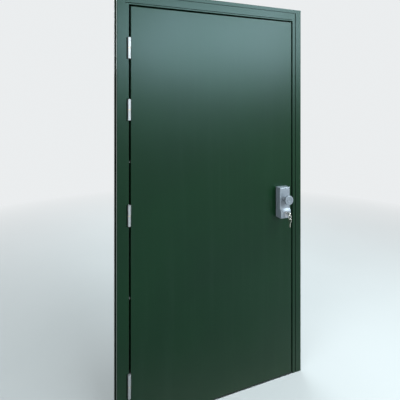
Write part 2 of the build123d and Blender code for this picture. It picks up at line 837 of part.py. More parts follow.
def make_cylinder():
    """Half cylinder with its plug and cam, the key in it, and the ring with a second key."""
    back = cylinder_front + cylinder_length
    body = along_y(cylinder_outline(), cylinder_x, cylinder_z, cylinder_front, back)
    bore = plug_radius + plug_play
    body -= rod_y(cylinder_x, cylinder_front - cut_past, back + cut_past, cylinder_z, bore)
    low = cylinder_z + cylinder_head_radius - cylinder_height
    screw_y = back - cylinder_screw_from_back
    thread_top = low + cylinder_thread_depth
    body -= rod_z(cylinder_x, screw_y, low - cut_past, thread_top, small_screw_radius + pin_clearance)
    pieces["lock_cylinder"] = body
    head_foot = access_foot + cylinder_screw_recess
    screw = Pos(cylinder_x, screw_y, head_foot) * Rot(180, 0, 0)
    length = thread_top - cut_past - head_foot
    pieces["cylinder_screw"] = screw * countersunk(small_screw_radius, small_screw_head, length)
    pieces["access_housing"] -= screw * countersunk_hole(small_screw_radius, small_screw_head, access_wall)
    pieces["access_housing"] -= rod_z(
        cylinder_x, screw_y, access_foot - cut_past, head_foot + cut_past / 2, small_screw_head + hole_play
    )

    plug = rod_y(cylinder_x, cylinder_front - cylinder_proud / 2, back, cylinder_z, plug_radius)
    slot = key_thickness / 2 + key_play
    tall = key_blade_height / 2 + key_play
    plug -= block(
        cylinder_x - slot,
        cylinder_x + slot,
        cylinder_front - cylinder_proud,
        cylinder_front + key_blade_length + key_play,
        cylinder_z - tall,
        cylinder_z + tall,
    )
    pieces["cylinder_plug"] = plug
    cam = Circle(cam_hub_radius) + Pos(0, -cam_radius / 2) * Rectangle(cam_width, cam_radius)
    cam = along_y(cam, cylinder_x, cylinder_z, back + cam_play, back + cam_thickness)
    pieces["cylinder_cam"] = cam + rod_y(cylinder_x, back, back + cut_past, cylinder_z, plug_radius / 2)

    flat = key_face(key_blade_length, key_neck, key_bow_length)
    key = extrude(flat, key_thickness / 2, both=True)
    outward = Plane(origin=(cylinder_x, cylinder_front, cylinder_z), x_dir=(0, -1, 0), z_dir=(1, 0, 0))
    pieces["door_key"] = outward.location * key

    hole_y = cylinder_front - key_neck - key_bow_length + key_hole_edge
    ring_z = cylinder_z - key_hole_radius + ring_wire + ring_play - ring_radius
    coil = Cylinder(ring_radius + ring_wire, 2 * ring_wire)
    coil -= Cylinder(ring_radius - ring_wire, 3 * ring_wire)
    coil = chamfer(coil.edges(), ring_chamfer)
    pieces["key_ring"] = Pos(cylinder_x, hole_y, ring_z) * Rot(90, 0, 0) * coil
    spare_hole_z = ring_z - ring_radius + ring_wire + ring_play - key_hole_radius
    blade = spare_key_length - key_bow_height - spare_key_neck
    spare = extrude(key_face(blade, spare_key_neck, key_bow_height), key_thickness / 2, both=True)
    hole_x = spare_key_neck + key_bow_height - key_hole_edge
    upward = Plane(origin=(cylinder_x, hole_y, spare_hole_z), x_dir=(0, 0, 1), z_dir=(1, 0, 0))
    pieces["spare_key"] = upward.location * Pos(-hole_x, 0, 0) * spare


def chassis_and_cover(x, middle, height, slides):
    """Folded channel with cheeks for the arm's pivot, and the cover that caps it."""
    low = middle - height / 2
    high = middle + height / 2
    half = chassis_width / 2
    t = chassis_sheet
    channel = block(x - half, x + half, leaf_back, leaf_back + chassis_projection, low, high)
    open_to = leaf_back + chassis_projection + cut_past
    channel -= block(x - half + t, x + half - t, leaf_back + t, open_to, low - cut_past, high + cut_past)
    channel -= rod_x(x - half - cut_past, x + half + cut_past, arm_y, arm_z, pin_radius + pin_clearance)

    c = cover_sheet
    out = half + cover_play + c
    rim = out - half
    cover = block(x - out, x + out, leaf_back, leaf_back + cover_projection, low - rim, high + rim)
    long_edges = cover.edges().filter_by(Axis.Z).group_by(Axis.Y)[-1]
    end_edges = cover.edges().filter_by(Axis.X).group_by(Axis.Y)[-1]
    cover = fillet(long_edges + end_edges, cover_round)
    cover -= block(
        x - out + c,
        x + out - c,
        leaf_back - cut_past,
        leaf_back + cover_projection - c,
        low - rim + c,
        high + rim - c,
    )
    slot = arm_thickness / 2 + arm_slot_play
    cover -= block(
        x - slot,
        x + slot,
        leaf_back + cover_projection - 3 * c,
        leaf_back + cover_projection + cut_past,
        arm_z - cover_slot_below,
        arm_z + cover_slot_above,
    )
    if slides:
        way = shoot_radius + shoot_way_play
        for z0, z1 in ((low - 2 * c - cut_past, low), (high, high + 2 * c + cut_past)):
            cover -= rod_z(x, shoot_y, z0, z1, way)
            cover -= block(x - way, x + way, leaf_back - cut_past, shoot_y, z0, z1)
    return channel, cover


def make_arm(x, side):
    """Forged arm: hub and sleeve on the pivot, boss and spigot for the bar."""
    half = arm_thickness / 2
    boss = Pos(arm_length, 0) * Circle(arm_boss_radius)
    arm = extrude(make_hull(Circle(arm_hub_radius).edges() + boss.edges()), half, both=True)
    arm = chamfer(arm.edges().group_by(Axis.Z)[0] + arm.edges().group_by(Axis.Z)[-1], arm_chamfer)
    arm += Cylinder(arm_sleeve_radius, chassis_width - 2 * chassis_sheet - 2 * washer_play)
    spigot = bar_radius - bar_wall - pin_clearance
    arm += Pos(arm_length, 0, -side * (half + bar_spigot / 2)) * Cylinder(spigot, bar_spigot)
    arm -= Cylinder(pin_radius + pin_clearance, chassis_width)
    return Pos(x, arm_y, arm_z) * Rot(arm_held_angle, 0, 0) * Plane.YZ.location * arm


def make_panic_device():
    """Both chassis with covers, the push bar on its arms, the rocker and the two shoots."""
    active, active_cover = chassis_and_cover(active_x, rocker_z, active_chassis_height, True)
    idle, idle_cover = chassis_and_cover(idle_x, idle_middle, idle_chassis_height, False)
    y0 = leaf_back - cut_past
    y1 = leaf_back + chassis_sheet + cut_past
    active -= rod_y(knob_x, y0, y1, knob_z, spindle_hole)
    for z in access_bolt_heights:
        active -= rod_y(access_x, y0, y1, z, access_bolt_radius + hole_play)
    screws = []
    for x, z in chassis_screw_places():
        drill = rod_y(x, y0, y1, z, chassis_screw_radius + hole_play)
        active -= drill
        idle -= drill
        screw = pan_head(chassis_screw_radius, chassis_sheet + skin + reinforcement_sheet)
        screws.append(Pos(x, leaf_back + chassis_sheet, z) * Rot(-90, 0, 0) * screw)
    pieces["active_chassis"] = active
    pieces["idle_chassis"] = idle
    pieces["chassis_screws"] = Compound(screws)

    back = leaf_back + cover_projection
    stem_hole = hold_back_stem + 2 * pin_clearance
    stem_way = rod_y(active_x, back - 2 * cover_sheet, back + cut_past, hold_back_z, stem_hole)
    pieces["active_cover"] = active_cover - stem_way
    pieces["idle_cover"] = idle_cover
    pieces["hold_back_turn"] = make_hold_back(back)

    half = chassis_width / 2
    pieces["arm_pivot_pins"] = Compound(
        [rod_x(x - half, x + half, arm_y, arm_z, pin_radius) for x in (active_x, idle_x)]
    )
    toe = make_toe()
    pieces["active_arm"] = make_arm(active_x, 1) + toe
    pieces["idle_arm"] = make_arm(idle_x, -1)
    end = active_x - arm_thickness / 2 - washer_play
    tube = rod_x(-end, end, bar_y, bar_z, bar_radius)
    tube -= rod_x(-end - cut_past, end + cut_past, bar_y, bar_z, bar_radius - bar_wall)
    pieces["push_bar_tube"] = tube


def make_hold_back(face):
    """Small turn on the active cover, whose finger inside the cover catches the arm."""
    seat = face + hold_back_gap
    top = seat + hold_back_button
    turn = rod_y(active_x, seat, top, hold_back_z, hold_back_radius)
    turn = chamfer(turn.edges().group_by(Axis.Y)[-1], hold_back_button / 4)
    half = hold_back_grip_width / 2
    grip = block(
        active_x - half,
        active_x + half,
        top - hold_back_gap,
        top + hold_back_grip_height,
        hold_back_z - hold_back_radius + half,
        hold_back_z + hold_back_radius - half,
    )
    turn += fillet(grip.edges().filter_by(Axis.X).group_by(Axis.Y)[-1], half)
    deep = face - hold_back_depth
    turn += rod_y(active_x, deep, seat, hold_back_z, hold_back_stem)
    half = hold_back_finger_width / 2
    return turn + block(
        active_x - half,
        active_x + half,
        deep,
        deep + hold_back_finger_thickness,
        hold_back_z,
        hold_back_z + hold_back_finger,
    )


def make_toe():
    """Toe of the active arm, which points at the leaf and moves the lower slide."""
    face = Pos(toe_length / 2, 0) * Rectangle(toe_length, toe_thickness)
    face += Pos(toe_length, 0) * Circle(toe_end_radius)
    face -= Circle(arm_sleeve_radius)
    toe = extrude(face, toe_width / 2, both=True)
    return Pos(active_x, arm_y, arm_z) * Rot(180 - arm_swing / 2, 0, 0) * Plane.YZ.location * toe


def pin_place(side):
    """Rest place of a rocker pin: the far one is raised and the near one lowered by half the swing."""
    tilt = radians(rocker_swing / 2)
    return active_x + side * rocker_radius * cos(tilt), rocker_z + side * rocker_radius * sin(tilt)


def make_shoots():
    """Rocker, the two slides that it links, and the rods that they carry."""
    y0 = rocker_back - rocker_sheet
    y1 = rocker_back
    far = pin_place(1)
    near = pin_place(-1)
    pad = rocker_pin_radius + rocker_pin_wall
    face = make_hull(
        Circle(rocker_hub_radius).edges()
        + (Pos(far[0] - active_x, far[1] - rocker_z) * Circle(pad)).edges()
        + (Pos(near[0] - active_x, near[1] - rocker_z) * Circle(pad)).edges()
    )
    rocker = along_y(face, active_x, rocker_z, y0, y1)
    front = slide_y - slide_sheet / 2
    behind = slide_y + slide_sheet / 2
    for x, z in (far, near):
        rocker += rod_y(x, y0, behind + rocker_pin_proud, z, rocker_pin_radius)
    rocker -= rod_y(active_x, y0 - cut_past, y1 + cut_past, rocker_z, spindle_hole - rocker_hole_less)
    pieces["rocker"] = rocker

    travel = rocker_radius * (1 - cos(radians(rocker_swing / 2)))
    slot_half = rocker_pin_radius + travel + slide_play
    slot_height = rocker_pin_radius + slide_play
    strip = slide_strip
    y2 = front - cut_past
    y3 = behind + cut_past

    def slot(place):
        x, z = place
        return block(x - slot_half, x + slot_half, y2, y3, z - slot_height, z + slot_height)

    over = chassis_top - slide_end_gap
    lower_edge = chassis_bottom + slide_end_gap
    toe_z = arm_z + toe_length * sin(radians(arm_swing / 2))
    top = block(near[0] - strip, near[0] + strip, front, behind, near[1] - strip, over)
    top += block(near[0] - strip, active_x + shoot_radius, front, behind, over - slide_yoke, over)
    top -= slot(near)
    rod = rod_z(active_x, shoot_y, over - slide_yoke, top_tip, shoot_radius)
    tip = rod.edges().group_by(Axis.Z)[-1]
    top += chamfer(tip, shoot_chamfer)
    pieces["top_shoot"] = top

    window = toe_end_radius + slide_play
    half_toe = toe_width / 2 + slide_play
    yoke = window + slide_yoke / 2
    bottom = block(far[0] - strip, far[0] + strip, front, behind, lower_edge, toe_z + yoke)
    bottom += block(active_x - half_toe - slide_wall, far[0], front, behind, toe_z - yoke, toe_z + yoke)
    bottom -= block(active_x - half_toe, active_x + half_toe, y2, y3, toe_z - window, toe_z + window)
    bottom += block(active_x - shoot_radius, far[0], front, behind, lower_edge, lower_edge + slide_yoke)
    bottom -= slot(far)
    rod = rod_z(active_x, shoot_y, bottom_tip, lower_edge + slide_yoke, shoot_radius)
    bottom += chamfer(rod.edges().group_by(Axis.Z)[0], shoot_chamfer)
    pieces["bottom_shoot"] = bottom

    guides = []
    screws = []
    for height in guide_heights:
        z = leaf_bottom + height
        low = z - guide_height / 2
        high = z + guide_height / 2
        half = guide_width / 2
        seat = leaf_back + guide_foot
        foot = block(active_x - half, active_x + half, leaf_back, seat, low, high)
        out = shoot_radius + guide_wall
        loop = block(active_x - out, active_x + out, leaf_back, shoot_y + out, low, high)
        loop = fillet(loop.edges().filter_by(Axis.Z).group_by(Axis.Y)[-1], guide_round)
        bore = rod_z(active_x, shoot_y, low - cut_past, high + cut_past, shoot_radius + shoot_play)
        guide = foot + loop - bore
        for side in (-1, 1):
            x = active_x + side * guide_screw_offset
            guide -= rod_y(x, leaf_back - cut_past, seat + cut_past, z, small_screw_radius + hole_play)
            screw = pan_head(small_screw_radius, guide_foot + skin)
            screws.append(Pos(x, seat, z) * Rot(-90, 0, 0) * screw)
        guides.append(guide)
    pieces["shoot_guides"] = Compound(guides)
    pieces["guide_screws"] = Compound(screws)


make_frame()
make_frame_trim()
make_leaf()
make_hinges()
make_dog_bolts()
make_access_device()
make_cylinder()
make_panic_device()
make_shoots()

os.makedirs("parts", exist_ok=True)
for node, shape in pieces.items():
    export_step(shape, f"parts/{node}.step")
print(len(pieces), "nodes, stroke", round(stroke, 3), "rocker radius", round(rocker_radius, 3))
print("bar", round(bar_y, 2), round(bar_z, 2), "toe", round(toe_length, 2), "frame top", frame_top)
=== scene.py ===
"""Looks of a steel fire exit door: its finishes, fine pieces, light and camera.

Lengths are in metres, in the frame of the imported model: X from the hinges to the lock, Y from outside to
inside, Z up.
"""

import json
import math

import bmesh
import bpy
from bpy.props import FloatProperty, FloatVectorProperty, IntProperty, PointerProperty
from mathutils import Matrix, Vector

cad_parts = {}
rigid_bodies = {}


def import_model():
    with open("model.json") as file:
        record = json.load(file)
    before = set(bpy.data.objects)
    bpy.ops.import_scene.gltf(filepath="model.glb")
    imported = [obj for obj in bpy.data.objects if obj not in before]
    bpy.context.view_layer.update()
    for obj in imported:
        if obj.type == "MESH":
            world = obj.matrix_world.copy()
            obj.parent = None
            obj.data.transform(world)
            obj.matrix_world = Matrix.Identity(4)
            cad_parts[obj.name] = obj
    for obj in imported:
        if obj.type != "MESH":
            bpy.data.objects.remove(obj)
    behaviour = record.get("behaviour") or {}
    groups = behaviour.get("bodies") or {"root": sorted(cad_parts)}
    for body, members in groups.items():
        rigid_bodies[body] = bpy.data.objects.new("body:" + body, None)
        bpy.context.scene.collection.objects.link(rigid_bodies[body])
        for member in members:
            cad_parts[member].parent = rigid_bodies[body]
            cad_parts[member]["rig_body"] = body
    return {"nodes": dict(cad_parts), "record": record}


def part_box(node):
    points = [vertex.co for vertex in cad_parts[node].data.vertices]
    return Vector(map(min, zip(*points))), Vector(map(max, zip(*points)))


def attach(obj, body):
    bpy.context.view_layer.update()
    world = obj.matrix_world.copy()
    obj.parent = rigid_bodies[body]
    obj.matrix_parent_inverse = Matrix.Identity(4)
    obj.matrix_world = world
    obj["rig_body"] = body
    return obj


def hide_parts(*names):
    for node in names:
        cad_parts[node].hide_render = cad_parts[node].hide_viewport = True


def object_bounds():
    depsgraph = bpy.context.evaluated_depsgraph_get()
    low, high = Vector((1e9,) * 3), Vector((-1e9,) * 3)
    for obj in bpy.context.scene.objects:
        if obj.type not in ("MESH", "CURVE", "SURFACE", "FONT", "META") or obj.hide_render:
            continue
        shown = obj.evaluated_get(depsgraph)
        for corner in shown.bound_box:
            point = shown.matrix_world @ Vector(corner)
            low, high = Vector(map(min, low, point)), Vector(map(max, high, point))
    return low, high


bl_info = {
    "name": "Fire exit door",
    "version": (1, 0, 0),
    "blender": (4, 5, 0),
    "location": "View3D > Sidebar > Door",
    "description": "Finishes and fine pieces of a steel fire exit door",
    "category": "Object",
}

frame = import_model()
cad_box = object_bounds()

MM = 0.001
MERGE = 0.002 * MM
OUTWARD = Vector((0, -1, 0))
INWARD = Vector((0, 1, 0))
UP = Vector((0, 0, 1))
DOWN = Vector((0, 0, -1))
TO_HINGES = Vector((-1, 0, 0))
TO_LOCK = Vector((1, 0, 0))
HINGES = (1, 2, 3, 4)


class FinishSettings(bpy.types.PropertyGroup):
    """Colours and gloss of the finishes that show most."""

    coat_colour: FloatVectorProperty(
        name="Coat colour",
        description="Base colour of the green powder coat on leaf and frame",
        subtype="COLOR",
        min=0.0,
        max=1.0,
        default=(0.0004, 0.0125, 0.0016),
    )
    coat_roughness: FloatProperty(
        name="Coat roughness",
        description="Roughness of the powder coat where it is clean",
        subtype="FACTOR",
        min=0.0,
        max=1.0,
        default=0.32,
    )
    dust_height: FloatProperty(
        name="Dust height",
        description="Height over the floor up to which the coat carries a little dust",
        unit="LENGTH",
        min=0.0,
        default=0.45,
    )
    paint_colour: FloatVectorProperty(
        name="Device colour",
        description="Base colour of the silver paint on the outside access device",
        subtype="COLOR",
        min=0.0,
        max=1.0,
        default=(0.195, 0.217, 0.247),
    )
    steel_colour: FloatVectorProperty(
        name="Hinge colour",
        description="Colour of the bright plated steel of the hinges",
        subtype="COLOR",
        min=0.0,
        max=1.0,
        default=(0.345, 0.355, 0.365),
    )


class HardwareSettings(bpy.types.PropertyGroup):
    """Fine sizes of the hardware that the solids leave plain."""

    edge_round: FloatProperty(
        name="Edge round",
        description="Width of the small round on cast and machined edges",
        unit="LENGTH",
        min=0.0,
        default=0.5 * MM,
    )
    sheet_round: FloatProperty(
        name="Sheet edge round",
        description="Width of the small round on cut sheet edges",
        unit="LENGTH",
        min=0.0,
        default=0.25 * MM,
    )
    turned_steps: IntProperty(
        name="Turned steps",
        description="Steps round a turned piece",
        min=12,
        max=128,
        default=56,
    )
    recess_depth: FloatProperty(
        name="Screw recess depth",
        description="Depth of the cross recess, as a share of the radius of the head's face",
        subtype="FACTOR",
        min=0.1,
        max=0.9,
        default=0.4,
    )
    ring_turns: FloatProperty(
        name="Key ring turns",
        description="Turns of the flat wire in the key ring",
        min=1.0,
        max=3.0,
        default=1.9,
    )


class StageSettings(bpy.types.PropertyGroup):
    """Camera, light and floor."""

    camera_place: FloatVectorProperty(
        name="Camera place",
        description="Where the camera stands",
        subtype="TRANSLATION",
        unit="LENGTH",
        default=(-0.773, -1.707, 1.548),
    )
    camera_yaw: FloatProperty(
        name="Camera yaw",
        description="How far the level camera is turned from straight ahead towards the lock",
        subtype="ANGLE",
        default=math.radians(21.9),
    )
    focal_length: FloatProperty(
        name="Focal length",
        description="Focal length of the camera in millimetres, on a sensor 36 mm wide",
        min=1.0,
        default=31.5,
    )
    horizon_share: FloatProperty(
        name="Horizon",
        description="Height of the horizon over the middle of the picture, as a share of its width",
        subtype="FACTOR",
        min=-1.0,
        max=1.0,
        default=0.2425,
    )
    front_power: FloatProperty(
        name="Front light",
        description="Power of the large soft light in front of the door",
        unit="POWER",
        min=0.0,
        default=300.0,
    )
    top_power: FloatProperty(
        name="Top light",
        description="Power of the soft light above and in front of the door",
        unit="POWER",
        min=0.0,
        default=130.0,
    )
    side_power: FloatProperty(
        name="Side light",
        description="Power of the weak soft light on the hinges' side",
        unit="POWER",
        min=0.0,
        default=115.0,
    )
    back_power: FloatProperty(
        name="Back light",
        description="Power of the soft light on the inside of the door",
        unit="POWER",
        min=0.0,
        default=200.0,
    )
    sky_level: FloatProperty(
        name="Room light",
        description="Strength of the even light from all sides",
        min=0.0,
        default=0.38,
    )
    background: FloatVectorProperty(
        name="Background",
        description="Pale colour behind the door",
        subtype="COLOR",
        min=0.0,
        max=1.0,
        default=(0.83, 0.85, 0.86),
    )
    floor_colour: FloatVectorProperty(
        name="Floor",
        description="Colour of the plain floor",
        subtype="COLOR",
        min=0.0,
        max=1.0,
        default=(0.46, 0.46, 0.455),
    )


class Value:
    """An output of a shader node. Arithmetic on it adds Math nodes."""

    def __init__(self, shader, socket):
        self.shader = shader
        self.socket = socket

    def maths(self, operation, *values):
        return self.shader.add("ShaderNodeMath", dict(enumerate(values)), operation=operation)

    def __add__(self, other):
        return self.maths("ADD", self, other)

    def __radd__(self, other):
        return self.maths("ADD", other, self)

    def __sub__(self, other):
        return self.maths("SUBTRACT", self, other)

    def __rsub__(self, other):
        return self.maths("SUBTRACT", other, self)

    def __mul__(self, other):
        return self.maths("MULTIPLY", self, other)

    def __rmul__(self, other):
        return self.maths("MULTIPLY", other, self)

    def __abs__(self):
        return self.maths("ABSOLUTE", self)

    def between(self, low, high):
        """Goes from 0 at low to 1 at high, and stays there."""
        return self.shader.add("ShaderNodeMapRange", {"Value": self, "From Min": low, "From Max": high})


class Shader:
    """The nodes of a material or of the world."""

    def __init__(self, owner):
        self.owner = owner
        owner.use_nodes = True
        self.tree = owner.node_tree
        self.tree.nodes.clear()

    def add(self, kind, inputs=None, output=0, **settings):
        """Adds a node with its settings, then its sockets' values or links, and gives one of its outputs."""
        node = self.tree.nodes.new(kind)
        for key, setting in settings.items():
            setattr(node, key, setting)
        for key, value in (inputs or {}).items():
            if isinstance(value, Value):
                self.tree.links.new(value.socket, node.inputs[key])
            else:
                node.inputs[key].default_value = value
        return Value(self, node.outputs[output]) if node.outputs else None

    @property
    def place(self):
        """The surface point in the object's own coordinates."""
        return self.add("ShaderNodeTexCoord", output="Object")

    def mix(self, factor, first, second):
        """Colour between two colours."""
        inputs = {0: factor}
        for key, colour in ((6, first), (7, second)):
            inputs[key] = colour if isinstance(colour, Value) else (*colour, 1.0)
        return self.add("ShaderNodeMix", inputs, output=2, data_type="RGBA")

    def axis(self, name):
        """One coordinate of the surface point, in metres."""
        return self.add("ShaderNodeSeparateXYZ", {"Vector": self.place}, output=name)

    def stretched(self, scale):
        """Coordinates scaled on each axis."""
        return self.add("ShaderNodeMapping", {"Vector": self.place, "Scale": scale})

    def noise(self, scale, detail=2.0, place=None):
        """Soft noise, around one half."""
        inputs = {"Vector": place or self.place, "Scale": scale, "Detail": detail}
        return self.add("ShaderNodeTexNoise", inputs)

    def lines(self, grain, detail=3.0):
        """Soft noise drawn out by a different scale on each axis."""
        return self.noise(1.0, detail, self.stretched(grain))

    def cells(self, scale, feature="F1", output="Distance"):
        """Cell pattern."""
        inputs = {"Vector": self.place, "Scale": scale}
        return self.add("ShaderNodeTexVoronoi", inputs, output=output, feature=feature)

    def levels(self, scale):
        """A level of 0 to 1 for each cell."""
        colours = self.cells(scale, output="Color")
        return self.add("ShaderNodeSeparateXYZ", {"Vector": colours}, output="X")

    def bump(self, height, depth, under=None):
        """Normal bent by a height of 0 to 1 that stands for a depth in metres."""
        inputs = {"Height": height, "Distance": depth, "Strength": 1.0}
        if under:
            inputs["Normal"] = under
        return self.add("ShaderNodeBump", inputs)

    def surface(self, colour, roughness, normal, metallic=0.0, **fixed):
        """Ends the material in a Principled surface, and gives the material."""
        inputs = {"Base Color": colour, "Roughness": roughness, "Normal": normal, "Metallic": metallic}
        for key, value in fixed.items():
            inputs[key.replace("_", " ")] = value
        return self.end(self.add("ShaderNodeBsdfPrincipled", inputs))

    def end(self, shaded, kind="ShaderNodeOutputMaterial"):
        """Ends the nodes in a shader, and gives the material or world."""
        self.add(kind, {"Surface": shaded})
        return self.owner

    def clear_sight(self):
        """1 where the camera sees a surface straight on, in a mirror or through glass."""
        camera = self.add("ShaderNodeLightPath", output="Is Camera Ray")
        glossy = self.add("ShaderNodeLightPath", output="Is Glossy Ray")
        clear = self.add("ShaderNodeLightPath", output="Is Transmission Ray")
        return (camera + glossy + clear).between(0.0, 1.0)


def shade(colour, factor):
    """A colour made lighter or darker."""
    return tuple(min(1.0, part * factor) for part in colour)


def painted_groove_shade_mask(s):
    """1 in the shallow grooves of the frame's face, where shade is painted into the coat's colour."""
    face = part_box("frame_head")[0].y
    y = s.axis("Y")
    behind_face = y.between(face + 0.6 * MM, face + 1.6 * MM)
    before_stop = y.between(face + 3.6 * MM, face + 3.2 * MM)
    side = cad_box[1].x
    off_sides = abs(s.axis("X")).between(side - 3 * MM, side - 4 * MM)
    return behind_face * before_stop * off_sides


def powder_coat(s, grooves=False):
    """Green semi-gloss powder coat on sheet: orange peel, faint waves of the sheet, dust near the foot, and
    painted shade in the frame's grooves when asked.
    """
    settings = bpy.context.scene.door_finish
    base = tuple(settings.coat_colour)
    dust_colour = (0.110, 0.115, 0.090)
    streak_colour = (0.060, 0.095, 0.075)
    peel_depth = 0.016 * MM
    wave_depth = 3.2 * MM
    patches = s.noise(2.1, 3.0)
    streaks = s.lines((34.0, 34.0, 1.3), 4.0).between(0.52, 0.78)
    low = s.axis("Z").between(settings.dust_height, 0.0)
    specks = s.noise(420.0, 1.0).between(0.55, 0.75)
    dust = low * low * (0.35 + 0.65 * s.noise(9.0, 5.0)) + specks * low * 0.25
    dust = dust.between(0.0, 1.6)
    colour = s.mix(patches.between(0.3, 0.7), shade(base, 0.86), shade(base, 1.16))
    colour = s.mix(streaks * 0.03, colour, streak_colour)
    colour = s.mix(dust * 0.18, colour, dust_colour)
    waves = s.lines((2.3, 2.3, 1.84), 1.0)
    normal = s.bump(s.noise(720.0), peel_depth, s.bump(waves, wave_depth))
    roughness = settings.coat_roughness + 0.06 * (patches - 0.5) + 0.015 * streaks + 0.30 * dust
    if grooves:
        # Painted shade: the coat is drawn much darker in the frame's grooves, and made rougher there.
        painted_groove_shade = painted_groove_shade_mask(s)
        colour = s.mix(painted_groove_shade * 0.8, colour, shade(base, 0.15))
        roughness = roughness + 0.55 * painted_groove_shade
    return s.surface(colour, roughness, normal, Specular_IOR_Level=0.28, Specular_Tint=(0.70, 0.94, 1.0, 1.0))


def silver_paint(s):
    """Blue-silver metallic paint on the cast housing and knob."""
    base = tuple(bpy.context.scene.door_finish.paint_colour)
    flakes = s.levels(2600.0)
    patches = s.noise(26.0, 4.0)
    colour = s.mix(flakes, shade(base, 0.90), shade(base, 1.12))
    colour = s.mix(patches.between(0.35, 0.75) * 0.25, colour, shade(base, 0.72))
    roughness = 0.27 + 0.10 * patches + 0.06 * flakes
    return s.surface(colour, roughness, s.bump(s.noise(1500.0), 0.008 * MM), 0.30)


def drawn_steel(s, colour, roughness, grain):
    """Bare or plated steel with fine drawing lines along the grain, and faint stains."""
    lines = s.lines(grain)
    stains = s.noise(14.0, 5.0)
    tone = s.mix(lines, shade(colour, 0.88), shade(colour, 1.08))
    tone = s.mix(stains.between(0.5, 0.85) * 0.5, tone, shade(colour, 0.70))
    rough = roughness + 0.14 * (lines - 0.5) + 0.16 * stains.between(0.45, 0.8)
    return s.surface(tone, rough, s.bump(lines, 0.004 * MM), 1.0)


def hinge_steel(s):
    """Bright plated steel of the hinges."""
    return drawn_steel(s, tuple(bpy.context.scene.door_finish.steel_colour), 0.50, ROUND_GRAIN)


def spangled_zinc(s):
    """Hot-dip zinc on the sheet inside the leaf, in large frosty grains."""
    grains = 95.0
    level = s.levels(grains)
    colour = s.mix(level, (0.42, 0.45, 0.48), (0.66, 0.69, 0.72))
    edge = s.cells(grains, feature="DISTANCE_TO_EDGE").between(0.0, 0.06)
    return s.surface(colour, 0.32 + 0.25 * level, s.bump(edge, 0.006 * MM), 0.9)


def trodden_sill(s):
    """Stainless sill, drawn along its length and scuffed where people step."""
    lines = s.lines((6.0, 900.0, 900.0))
    scuffs = s.lines((35.0, 120.0, 120.0), 5.0).between(0.55, 0.75)
    colour = s.mix(lines, (0.36, 0.37, 0.38), (0.50, 0.51, 0.52))
    colour = s.mix(scuffs * 0.5, colour, (0.24, 0.235, 0.22))
    return s.surface(colour, 0.40 + 0.10 * lines + 0.22 * scuffs, s.bump(lines, 0.006 * MM), 1.0)


def seal_rubber(s):
    """Black extruded rubber with a grey bloom."""
    bloom = s.noise(40.0, 4.0)
    colour = s.mix(bloom.between(0.4, 0.8) * 0.6, (0.012, 0.012, 0.013), (0.045, 0.046, 0.048))
    return s.surface(colour, 0.55 + 0.25 * bloom, s.bump(s.noise(1300.0), 0.01 * MM))


def turned_brass(s):
    """Dull turned brass."""
    stains = s.noise(90.0, 4.0)
    colour = s.mix(stains, (0.62, 0.42, 0.16), (0.78, 0.58, 0.28))
    return s.surface(colour, 0.28 + 0.2 * stains, s.bump(s.noise(900.0), 0.006 * MM), 1.0)


def paper_comb(s):
    """Brown paper honeycomb, seen on its open cells, with painted shade darkening the hollows of the cells.
    """
    walls = s.cells(70.0, feature="DISTANCE_TO_EDGE").between(0.0, 0.09)
    # Painted shade: the paper is drawn dark brown away from the cell walls, in the hollows of the cells.
    colour = s.mix(walls, (0.40, 0.28, 0.16), (0.16, 0.10, 0.05))
    return s.surface(colour, 0.85, s.bump(1.0 - walls, 1.0 * MM))


def device_paint(s):
    """Silver-grey stoved paint on the panic device, with a fine leathery grain."""
    grain = s.cells(1100.0, feature="SMOOTH_F1")
    rub = s.noise(18.0, 5.0).between(0.55, 0.85)
    colour = s.mix(grain, (0.46, 0.48, 0.50), (0.56, 0.58, 0.60))
    colour = s.mix(rub * 0.35, colour, (0.34, 0.35, 0.36))
    return s.surface(colour, 0.36 + 0.12 * rub, s.bump(grain, 0.02 * MM), 0.35)


UPRIGHT_GRAIN = (700.0, 700.0, 16.0)
LEVEL_GRAIN = (14.0, 800.0, 800.0)
ROUND_GRAIN = (60.0, 60.0, 1500.0)

FINISHES = {
    "green_frame": lambda s: powder_coat(s, grooves=True),
    "green_leaf": powder_coat,
    "sill_steel": trodden_sill,
    "galvanised_steel": spangled_zinc,
    "paper_honeycomb": paper_comb,
    "seal_rubber": seal_rubber,
    "hinge_steel": hinge_steel,
    "washer_brass": turned_brass,
    "screw_steel": lambda s: drawn_steel(s, (0.66, 0.65, 0.60), 0.34, ROUND_GRAIN),
    "keeper_steel": lambda s: drawn_steel(s, (0.60, 0.61, 0.62), 0.36, LEVEL_GRAIN),
    "access_paint": silver_paint,
    "cylinder_nickel": lambda s: drawn_steel(s, (0.38, 0.39, 0.42), 0.30, UPRIGHT_GRAIN),
    "key_nickel": lambda s: drawn_steel(s, (0.78, 0.75, 0.69), 0.24, UPRIGHT_GRAIN),
    "mechanism_steel": lambda s: drawn_steel(s, (0.52, 0.53, 0.54), 0.38, UPRIGHT_GRAIN),
    "device_paint": device_paint,
    "bar_steel": lambda s: drawn_steel(s, (0.66, 0.67, 0.68), 0.25, LEVEL_GRAIN),
}


def finish_of(slot):
    """The finish of a slot of the record, made on its first use."""
    name = slot + "_finish"
    return bpy.data.materials.get(name) or FINISHES[slot](Shader(bpy.data.materials.new(name)))


def slot_of(node):
    """The record's slot of a CAD node."""
    return next(part["material_slot"] for part in frame["record"]["subparts"] if part["node"] == node)


def body_of(node):
    """The body that a CAD node belongs to."""
    return frame["nodes"][node]["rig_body"]


def merged(node):
    """A copy of a CAD node's mesh with its loose triangles joined."""
    shape = bmesh.new()
    shape.from_mesh(frame["nodes"][node].data)
    bmesh.ops.remove_doubles(shape, verts=shape.verts, dist=MERGE)
    return shape


def of_kind(made, kind):
    """The vertices or the edges in an operator's result."""
    return [item for item in made if isinstance(item, kind)]


def closed_loop(shape, points):
    """Vertices at some points, and the edges that join them in a ring."""
    verts = [shape.verts.new(point) for point in points]
    return verts, [shape.edges.new(pair) for pair in zip(verts, verts[1:] + verts[:1])]


